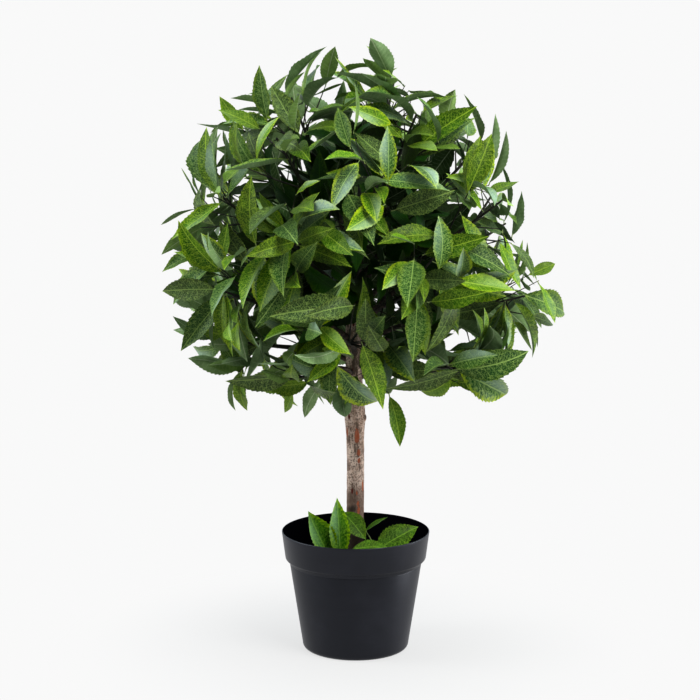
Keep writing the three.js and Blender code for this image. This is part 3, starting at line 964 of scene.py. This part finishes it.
def leafOnTwig(twig, outward, n, attempt, draw):
    u, v = twig["section"]
    turn = n * goldenAngle + attempt * leaf["retryTurn"] + draw(-0.4, 0.4)
    age = n / max(1, twig["leaves"] - 1)
    tilt = math.radians(mix(leaf["youngTilt"], leaf["oldTilt"], age ** 0.8) + draw(-20, 20))
    out = u * math.sin(turn) + v * math.cos(turn)
    axis = twig["way"] * math.cos(tilt) + out * math.sin(tilt)
    axis.z -= leaf["sag"] * draw(0.2, 1.8)
    axis.normalize()
    face = twig["way"] + outward + upward * leaf["faceUp"]
    face = squared(face + Vector([draw(-0.7, 0.7) for _ in range(3)]), axis)
    share = max(0.1, 1 - (1 + n * leaf["spacing"]) / (twig["end"] - twig["start"]).length)
    spot = onTwig(twig, share)
    root = spot + axis * mix(leaf["youngStalk"], leaf["oldStalk"], age)
    length = mix(leaf["youngLength"], leaf["oldLength"], min(1, age * 1.6)) * draw(0.86, 1.1)
    blade = newBlade(root, axis, face, length * leaf["shrink"] ** attempt, draw)
    blade.update(spot=spot, share=share, age=age)
    return blade


def woodShape(allTwigs):  # a three-sided tube for each twig, which the leaves are kept clear of
    thirds = (0, 2.09, 4.19)
    points, faces = [], []
    for twig in allTwigs:
        u, v = twig["section"]
        first = len(points)
        for end in (twig["start"], twig["end"]):
            points += [end + around(u, v, turn) * twig["radius"] for turn in thirds]
        for here, there in ((0, 1), (1, 2), (2, 0)):
            faces.append((first + here, first + there, first + 3 + there, first + 3 + here))
    return BVHTree.FromPolygons(points, faces)


def growLeaves():
    allTwigs = [twig for group in sprayTwigs for twig in group]
    woodTree = woodShape(allTwigs)
    blades, trees = [], []
    middles = np.zeros((sum(twig["leaves"] for twig in allTwigs), 3))
    for k, group in enumerate(sprayTwigs):
        draw = seeded(k + 501)
        for twig in group:
            for n in range(twig["leaves"]):
                room = mix(-crown["insiders"], crown["outliers"], draw() ** 2.6)
                for attempt in range(leaf["tries"]):
                    blade = leafOnTwig(twig, lines[k]["direction"], n, attempt, draw)
                    points = bladeShape([blade], coarseGrid)[0][0]
                    if not areFree(k, points[outlinePoints], twig["shared"], room, leafReach):
                        continue
                    if (distances(points, gapStarts, gapEnds) < gapRadii).any():
                        continue
                    shape = BVHTree.FromPolygons(points.tolist(), coarseQuads)
                    if shape.overlap(woodTree):
                        continue
                    middle = points[middlePoint]
                    away = np.linalg.norm(middles[:len(blades)] - middle, axis=1)
                    if any(shape.overlap(trees[i]) for i in np.nonzero(away < leaf["nearby"])[0]):
                        continue
                    middles[len(blades)] = middle
                    blade["depth"] = (Vector(middle) - crown["centre"]).length / crown["reach"]
                    twig["used"] = max(twig["used"], blade["share"])
                    blades.append(blade)
                    trees.append(shape)
                    break
    return blades


# the one leaf that hangs below the crown, on a fine twig of its own: its root and tip, the way its
# upper side faces, and its width, bend, twist and fold
lowLeaf = [(48, -114, 403), (62.8, -122, 331.8), (0.6, -0.8, 0.3), 0.32, 0.5, 0.4, 0.3]


def placedBlade(draw, root, tip, face, width, bend, twist, fold):  # a leaf placed as listed
    root, tip = Vector(root), Vector(tip)
    axis = (tip - root).normalized()
    face = squared(Vector(face), axis)
    blade = newBlade(root, axis, face, (tip - root).length, draw, bend, twist, fold, width)
    blade["lift"] = 0.5
    return blade


def hangLowLeaf():
    draw = seeded(701)
    blade = placedBlade(draw, *lowLeaf)
    spots = [(twig, share / 10, group) for group in sprayTwigs for twig in group
             for share in range(2, 10) if share / 10 < twig["used"]]
    twig, share, group = min(spots, key=lambda spot: (onTwig(*spot[:2]) - blade["root"]).length)
    end = blade["root"] - blade["axis"] * 6
    group.append(newTwig(onTwig(twig, share), end, twigs["finerRadius"], draw, 0) | {"used": 1.0})
    blade.update(spot=end, share=1.0, age=0.0, depth=1.0)
    return blade


# up to which age, the chance of the brightest tint, and of that or the next
tintChances = [(0.3, 0.52, 0.8), (0.65, 0.14, 0.5), (1.1, 0, 0.3)]


def tintOf(blade, draw):  # the youngest are the brightest, and those inside the crown get the near-black inner tint, a painted shade
    chance = draw()
    if blade["depth"] < 0.56 + chance * 0.12:
        return "inner"
    young, mid = next(chances for age, *chances in tintChances if blade["age"] < age)
    return "young" if chance < young else "mid" if chance < mid else "deep"


def bladeCorners(rows):
    upper = [0, 1, 2, 3, 4]
    lower = [0, 5, 6, 7, 4]
    quads = []
    for row in range(rows - 1):
        here = row * bladeRing
        there = here + bladeRing
        quads += [(here + a, there + a, there + b, here + b) for a, b in zip(upper, upper[1:])]
        quads += [(here + a, here + b, there + b, there + a) for a, b in zip(lower, lower[1:])]
    ring = [0, 1, 2, 3, 4, 7, 6, 5]
    caps = [ring, [(rows - 1) * bladeRing + corner for corner in ring[::-1]]]
    return np.array(quads), np.array(caps)


def makeLeaves(name, blades, finish, nodes, draw, teeth=leaf["teeth"]):
    rows = 2 * teeth + 1
    grid = bladeGrid(rows, True)
    points, across = bladeShape(blades, grid)
    quads, caps = bladeCorners(rows)
    count = len(grid[0])
    shift = (np.arange(len(blades)) * count)[:, None, None]
    faces = [(quads + shift).reshape(-1, 4), (caps + shift).reshape(-1, 8)]
    row = np.array([int(draw(0, pattern["variants"])) for _ in blades])
    along = np.clip(grid[0], 0, 1)
    spots = []
    for part in (quads, caps):
        under = (np.arange(len(part)) // 4 % 2 == 1) if part is quads else np.zeros(len(part), bool)
        u = (along[part] * pattern["length"] + pattern["start"]) * 0.5 + under[:, None] * 0.5
        v = across[:, part] / pattern["reach"] * 0.5 + 0.5
        v = (v + row[:, None, None]) / pattern["variants"]
        spots.append(np.stack([np.broadcast_to(u, v.shape), v], -1).reshape(-1, 2))
    return newPiece(name, points.reshape(-1, 3), faces, finish, nodes, np.concatenate(spots), 75)


def leafTint(share, **colours):  # the share is how strongly its yellow margin shows
    return {"share": share} | {name: srgb(*colour) for name, colour in colours.items()}


# each tint's bloom colour is a painted sheen: a pale patch that stands in for light reflected off the leaf
leafTints = {
    # painted shade: the inner tint is a near-black green dealt to the leaves deep in the crown, in place
    # of the shade there
    "inner": leafTint(0.7, dark=(0, 25, 0), light=(14, 52, 0), vein=(42, 84, 0), edge=(66, 96, 0),
                      under=(52, 80, 34), bloom=(38, 60, 38)),
    "deep": leafTint(0.9, dark=(0, 38, 18), light=(34, 74, 42), vein=(144, 168, 94),
                     edge=(152, 167, 26), under=(142, 166, 124), bloom=(164, 183, 172)),
    "mid": leafTint(0.9, dark=(8, 56, 0), light=(60, 110, 0), vein=(152, 177, 58),
                    edge=(159, 174, 24), under=(142, 166, 118), bloom=(164, 182, 156)),
    "young": leafTint(0.7, dark=(26, 84, 0), light=(76, 117, 0), vein=(156, 179, 66),
                      edge=(159, 174, 32), under=(142, 170, 98), bloom=(158, 184, 118)),
    "foot": leafTint(0.95, dark=(8, 48, 0), light=(56, 114, 0), vein=(132, 172, 56),
                     edge=(150, 182, 14), under=(134, 172, 90), bloom=(154, 190, 150)),
}
leafInks = {  # shared by all the tints
    "fresh": srgb(34, 92, 0),
    "olive": srgb(82, 88, 48),
    "paleNet": srgb(92, 116, 72),
    "paleVein": srgb(196, 208, 176),
}


def leafFinish(name, tint):
    material, start = newFinish(name)
    spot = start.node("UVMap", {"uv_map": "OFBake"})
    u, v = spot.part(0), spot.part(1)
    under = u.step(0.499, 0.501)
    along = ((u * 2).fraction() - pattern["start"]) / pattern["length"]
    row = (v * pattern["variants"]).whole()
    side = ((v * pattern["variants"]).fraction() * 2 - 1) * pattern["reach"]
    wide = abs(side)
    outline = outlineAt(along.above(0.0001).below(0.9999))
    shift, deeper = row * pattern["apart"], row * pattern["deeper"]
    plane = start.vector(along * pattern["long"] + shift, side * pattern["wide"], deeper)
    cloud = plane.clouds(0.06, 3)
    blotch = plane.clouds(0.3, 3)
    fine = plane.clouds(1.6, 2)
    # the printed net and veins slant towards the tip
    slant = along * pattern["long"] - wide * 11 + wide * wide * 3 + blotch * 3
    weave = start.vector(slant * 1.5 + shift, side * 14, deeper)
    net = {"Vector": weave, "Scale": 0.4}
    net = start.node("TexVoronoi", {"feature": "DISTANCE_TO_EDGE"}, net, "Distance").step(0.16, 0.03)
    lateral = abs((slant / pattern["veins"]).fraction() - 0.5).step(0.42, 0.5)
    lateral = lateral * (outline - wide).step(0.02, 0.25)
    midrib = wide.step(0.07, 0.02)
    margin = (outline - wide) / (0.2 + blotch.step(0.35, 0.7) * 0.36)
    margin = margin.step(1, 0) * (0.55 + fine * 0.9).below(1) * (0.3 + blotch.step(0.38, 0.6) * 0.7)
    # what each variant is dealt
    shade = row.chance(0.37)
    edging = row.chance(5.71).step(0.25, 0.85)
    fresh = row.chance(6.61).step(0.3, 0.6)
    paintedSheenRows = row.chance(9.13).step(0.4, 0.9)
    olive = row.chance(3.29).step(0.55, 0.95)
    # painted sheen: pale bluish-white patches on the upper side of some variants, towards the tip, in
    # place of reflected light
    bloom = paintedSheenRows * side.step(-0.3, 0.4) * along.step(0.1, 0.6) * (0.4 + cloud)
    colour = (cloud.step(0.35, 0.65) * 0.6 + shade * 0.4).blend(tint["dark"], tint["light"])
    colour = (fresh * 0.45).blend(colour, leafInks["fresh"])
    colour = (net * (0.34 + blotch.step(0.3, 0.7) * 0.56)).blend(colour, tint["vein"])
    colour = (margin * tint["share"] * (0.12 + edging * 0.88)).blend(colour, tint["edge"])
    colour = (lateral * 0.65).blend(colour, tint["vein"])
    colour = (midrib * 0.9).blend(colour, tint["vein"])
    colour = (bloom * 0.5).blend(colour, tint["bloom"])
    colour = (olive * 0.25).blend(colour, leafInks["olive"])
    colour = (0.85 + shade * 0.33).tinted(colour)
    pale = (net * 0.25 + cloud.step(0.4, 0.6) * 0.3).blend(tint["under"], leafInks["paleNet"])
    pale = (lateral * 0.3 + midrib * 0.7).below(1).blend(pale, leafInks["paleVein"])
    surface = {
        "Base Color": under.blend(colour, pale),
        "Roughness": 0.3 + fine * 0.14 + under * 0.4,
        "Specular IOR Level": 0.15,
        "Sheen Weight": 0.03,
        "Sheen Roughness": 0.4,
        "Sheen Tint": (0.78, 0.9, 1, 1),
    }
    bumps = midrib * -0.6 + lateral * -0.35 + net * -0.16 + fine * 0.12
    finishWith(start, surface, bumps, 0.0006, 0.7)
    return material


blades = growLeaves()
print("leaves placed:", len(blades))
lowBlade = hangLowLeaf()
blades.append(lowBlade)
tintDraw = seeded(77)
groups = {tint: [] for tint in leafTints if tint != "foot"}
for blade in blades:
    groups["young" if blade is lowBlade else tintOf(blade, tintDraw)].append(blade)
finishes = {tint: leafFinish(tint + "Leaf", leafTints[tint]) for tint in leafTints}
for tint, group in groups.items():
    for part in range(0, len(group), leaf["perPiece"]):
        name = f"leaves_{tint}_{part // leaf['perPiece'] + 1}"
        teeth = leaf["innerTeeth"] if tint == "inner" else leaf["teeth"]
        shown = group[part:part + leaf["perPiece"]]
        makeLeaves(name, shown, finishes[tint], nodesNamed("spray_"), tintDraw, teeth)
print("leaves made:", {tint: len(group) for tint, group in groups.items()})


def makeStalks(name, blades, finish, slot, nodes):
    bundle = Bundle()
    for blade in blades:
        root, axis = Vector(blade["root"]), Vector(blade["axis"])
        start = blade["spot"]
        path = [start, start.lerp(root, 0.4) - Vector((0, 0, 0.4)), root, root + axis * 2.2]
        bundle.add(path, [0.9, leaf["stalkRadius"], leaf["stalkRadius"], 0.45], 5)
    return bundle.piece(name, finish, slot, nodes)


def makeWood():  # each twig ends at its outermost leaf or fork
    limbs, fine = Bundle(), Bundle()
    thick = bough["rootRadius"] * 1.25
    for k, line in enumerate(lines):
        steps = 14
        path = [onBough(line, mix(0.03, 1, i / steps)) for i in range(steps + 1)]
        radii = [mix(thick, bough["tipRadius"], (i / steps) ** 0.6) for i in range(steps + 1)]
        limbs.add(path, radii, 10, twigs["knots"], k)
        for n, twig in enumerate(sprayTwigs[k]):
            if not twig["used"]:
                continue
            steps, sides = (8, 8) if twig["radius"] > 2 else (6, 6)
            last = min(1, twig["used"] + 0.02)
            path = [onTwig(twig, last * i / steps) for i in range(steps + 1)]
            radii = [twig["radius"] * mix(1, 0.42, i / steps) for i in range(steps + 1)]
            fine.add(path, radii, sides, twigs["knots"], k + n)
    boughFinish = wireFinish("boughWire", srgb(38, 30, 24), srgb(92, 76, 62), 0.6)
    twigFinish = wireFinish("twigWire", srgb(18, 20, 11), srgb(58, 58, 38), 0.5)
    limbs.piece("boughs", boughFinish, "wire", nodesNamed("bough_"))
    fine.piece("twigs", twigFinish, "wire", nodesNamed("spray_"))


makeWood()
print("boughs and twigs made")

stalkFinish = wireFinish("leafStalk", srgb(104, 122, 62), srgb(150, 164, 104), 0.5)
makeStalks("leaf_stalks", blades, stalkFinish, "leaf", nodesNamed("spray_"))


# sprigs at the stem's foot

# each leaf's root and tip, the way its upper side faces, and its width, bend, twist and fold
footLeaves = [
    [(-38, -44, 148), (-70, -46, 219.6), (0.45, -1, 0.3), 0.46, -0.2, -0.1, 0.95],
    [(-22, -46, 146), (-27.5, -40, 238.5), (0.1, -1, 0.12), 0.31, 0.2, 0.1, 0.3],
    [(-18, -25, 212), (15.5, -46, 175.8), (0.2, -0.85, 0.5), 0.55, 0.5, 0.1, 0.2],
    [(15, -36, 187), (47.7, -30, 206.5), (-0.2, -0.3, 1), 0.27, 0.3, 0, 0.3],
    [(30, -50, 160), (93.2, -30, 192.1), (-0.25, -0.8, 0.55), 0.5, 0.5, 0.2, 0.25],
    [(-6, -68, 166), (53, -76, 169), (0, -0.5, 0.85), 0.42, 0.9, 0, 0.1],
    [(0, 42, 148), (-22, 62, 196), (-0.2, 0.9, 0.4), 0.36, 0.4, 0.2, 0.2],
    [(2, 42, 148), (5, 70, 200), (0.1, 0.9, 0.4), 0.3, 0.3, -0.2, 0.2],
    [(-2, 42, 146), (-34, 52, 170), (-0.2, 0.8, 0.5), 0.34, 0.5, 0.2, 0.25],
]
# where each sprig's stem leaves the cement, and its top
sprigStems = [((-17, -26), (-20, -38, 158)), ((27, -21), (30, -40, 158)), ((2, 32), (4, 42, 158))]


def makeFootSprigs():
    draw = seeded(901)
    group = []
    for spec in footLeaves:
        blade = placedBlade(draw, *spec)
        stem = min(sprigStems, key=lambda stem: (Vector(stem[1]) - blade["root"]).length)
        blade["spot"] = Vector(stem[1])
        group.append(blade)
    nodes = nodesNamed("foot_sprig_")
    makeLeaves("foot_leaves", group, finishes["foot"], nodes, draw)
    bundle = Bundle()
    for (x, y), top in sprigStems:
        path = bowed(Vector((x, y, fill["top"] - 2)), Vector(top), 2, draw, 6)
        bundle.add(path, [2.0, 2.0, 2.0, 1.7, 1.7, 1.4, 1.0], 8, 0.2)
    for blade in group:
        path = bowed(blade["spot"], blade["root"], 2, draw, 4) + [blade["root"] + blade["axis"] * 2.5]
        bundle.add(path, [1.0, 0.9, 0.85, 0.8, 0.8, 0.5], 6)
    bundle.piece("foot_stems", stalkFinish, "young_leaf", nodes)


makeFootSprigs()
print("foot sprigs made")


# floor and light

studio = {
    "exposure": 0.55,
    "gamma": 0.78,
    "white": 0.655,  # of the floor and backdrop as they show
    "floorRadius": 12.0,
    "floorColour": 0.5,
    "floorGlow": 0.74,
    "skyTop": 1.1,
    "skyFront": 0.11,  # the dark side, behind the camera
    "skySides": 0.7,
    "skyColour": (0.84, 0.93, 1, 1),
}
# panels of light: place, what it faces, width, height, power
panels = [
    ((1.1, -1.4, 2.2), (0, 0, 0.5), 1.2, 1.2, 41),
    ((-1.9, -0.1, 1.4), (0, 0, 0.5), 0.9, 1.4, 18),
    ((1.9, 0.1, 0.15), (0, 0, 0.05), 0.9, 0.4, 11),
]


def makeFloor():
    radius = studio["floorRadius"] / mm
    points, faces = turned([(0, 0), (0.3 / mm, 0), (radius, 0), (radius, -2), (0, -2)], 96)
    mesh = bpy.data.meshes.new("floor")
    mesh.from_pydata((points * mm).tolist(), [], [tuple(f) for part in faces for f in part.tolist()])
    mesh.flip_normals()
    floor = placed("floor", mesh)
    material, start = newFinish("paleFloor")
    away = start.node("VectorMath", {"operation": "LENGTH"}, {0: start.place()}, "Value")
    level = studio["floorColour"]
    lit = start.node("BsdfDiffuse", None, {"Color": (level, level * 0.975, level * 0.95, 1)})
    glow = start.node("Emission", None, {"Color": (1, 1, 1, 1), "Strength": studio["white"]})
    share = away.step(0.1, 0.45) * (1 - studio["floorGlow"]) + studio["floorGlow"]
    both = start.node("MixShader", None, {0: share, 1: lit, 2: glow})
    showAs(start, both, "OutputMaterial")
    mesh.materials.append(material)


def makeSky():  # white where it shows, and a soft box of light round the tree
    world = bpy.data.worlds.new("studio")
    world.use_nodes = True
    tree = world.node_tree
    tree.nodes.clear()
    start = Wire(tree)
    way = start.node("TexCoord", None, None, "Generated")
    higher, behind = way.part(2).step(0, 0.9), way.part(1).step(-0.85, -0.1)
    light = studio["skySides"] + higher * (studio["skyTop"] - studio["skySides"])
    light = light * (studio["skyFront"] + (1 - studio["skyFront"]) * behind)
    seen = start.node("LightPath", None, None, "Is Camera Ray")
    strength = seen * studio["white"] + (1 - seen) * light
    colour = seen.blend(studio["skyColour"], (1, 1, 1, 1))
    surface = start.node("Background", None, {"Color": colour, "Strength": strength})
    showAs(start, surface, "OutputWorld")
    bpy.context.scene.world = world


def addPanel(place, aim, width, height, power):
    data = bpy.data.lights.new("panel", "AREA")
    data.shape = "RECTANGLE"
    data.size, data.size_y = width, height
    data.energy = power
    panel = placed("panel", data)
    panel.location = place
    panel.rotation_euler = (Vector(aim) - Vector(place)).to_track_quat("-Z", "Y").to_euler()


makeFloor()
makeSky()
for panel in panels:
    addPanel(*panel)
screen = bpy.context.scene.view_settings
screen.view_transform = "Standard"
screen.exposure = studio["exposure"]
screen.gamma = studio["gamma"]
print("studio lit")
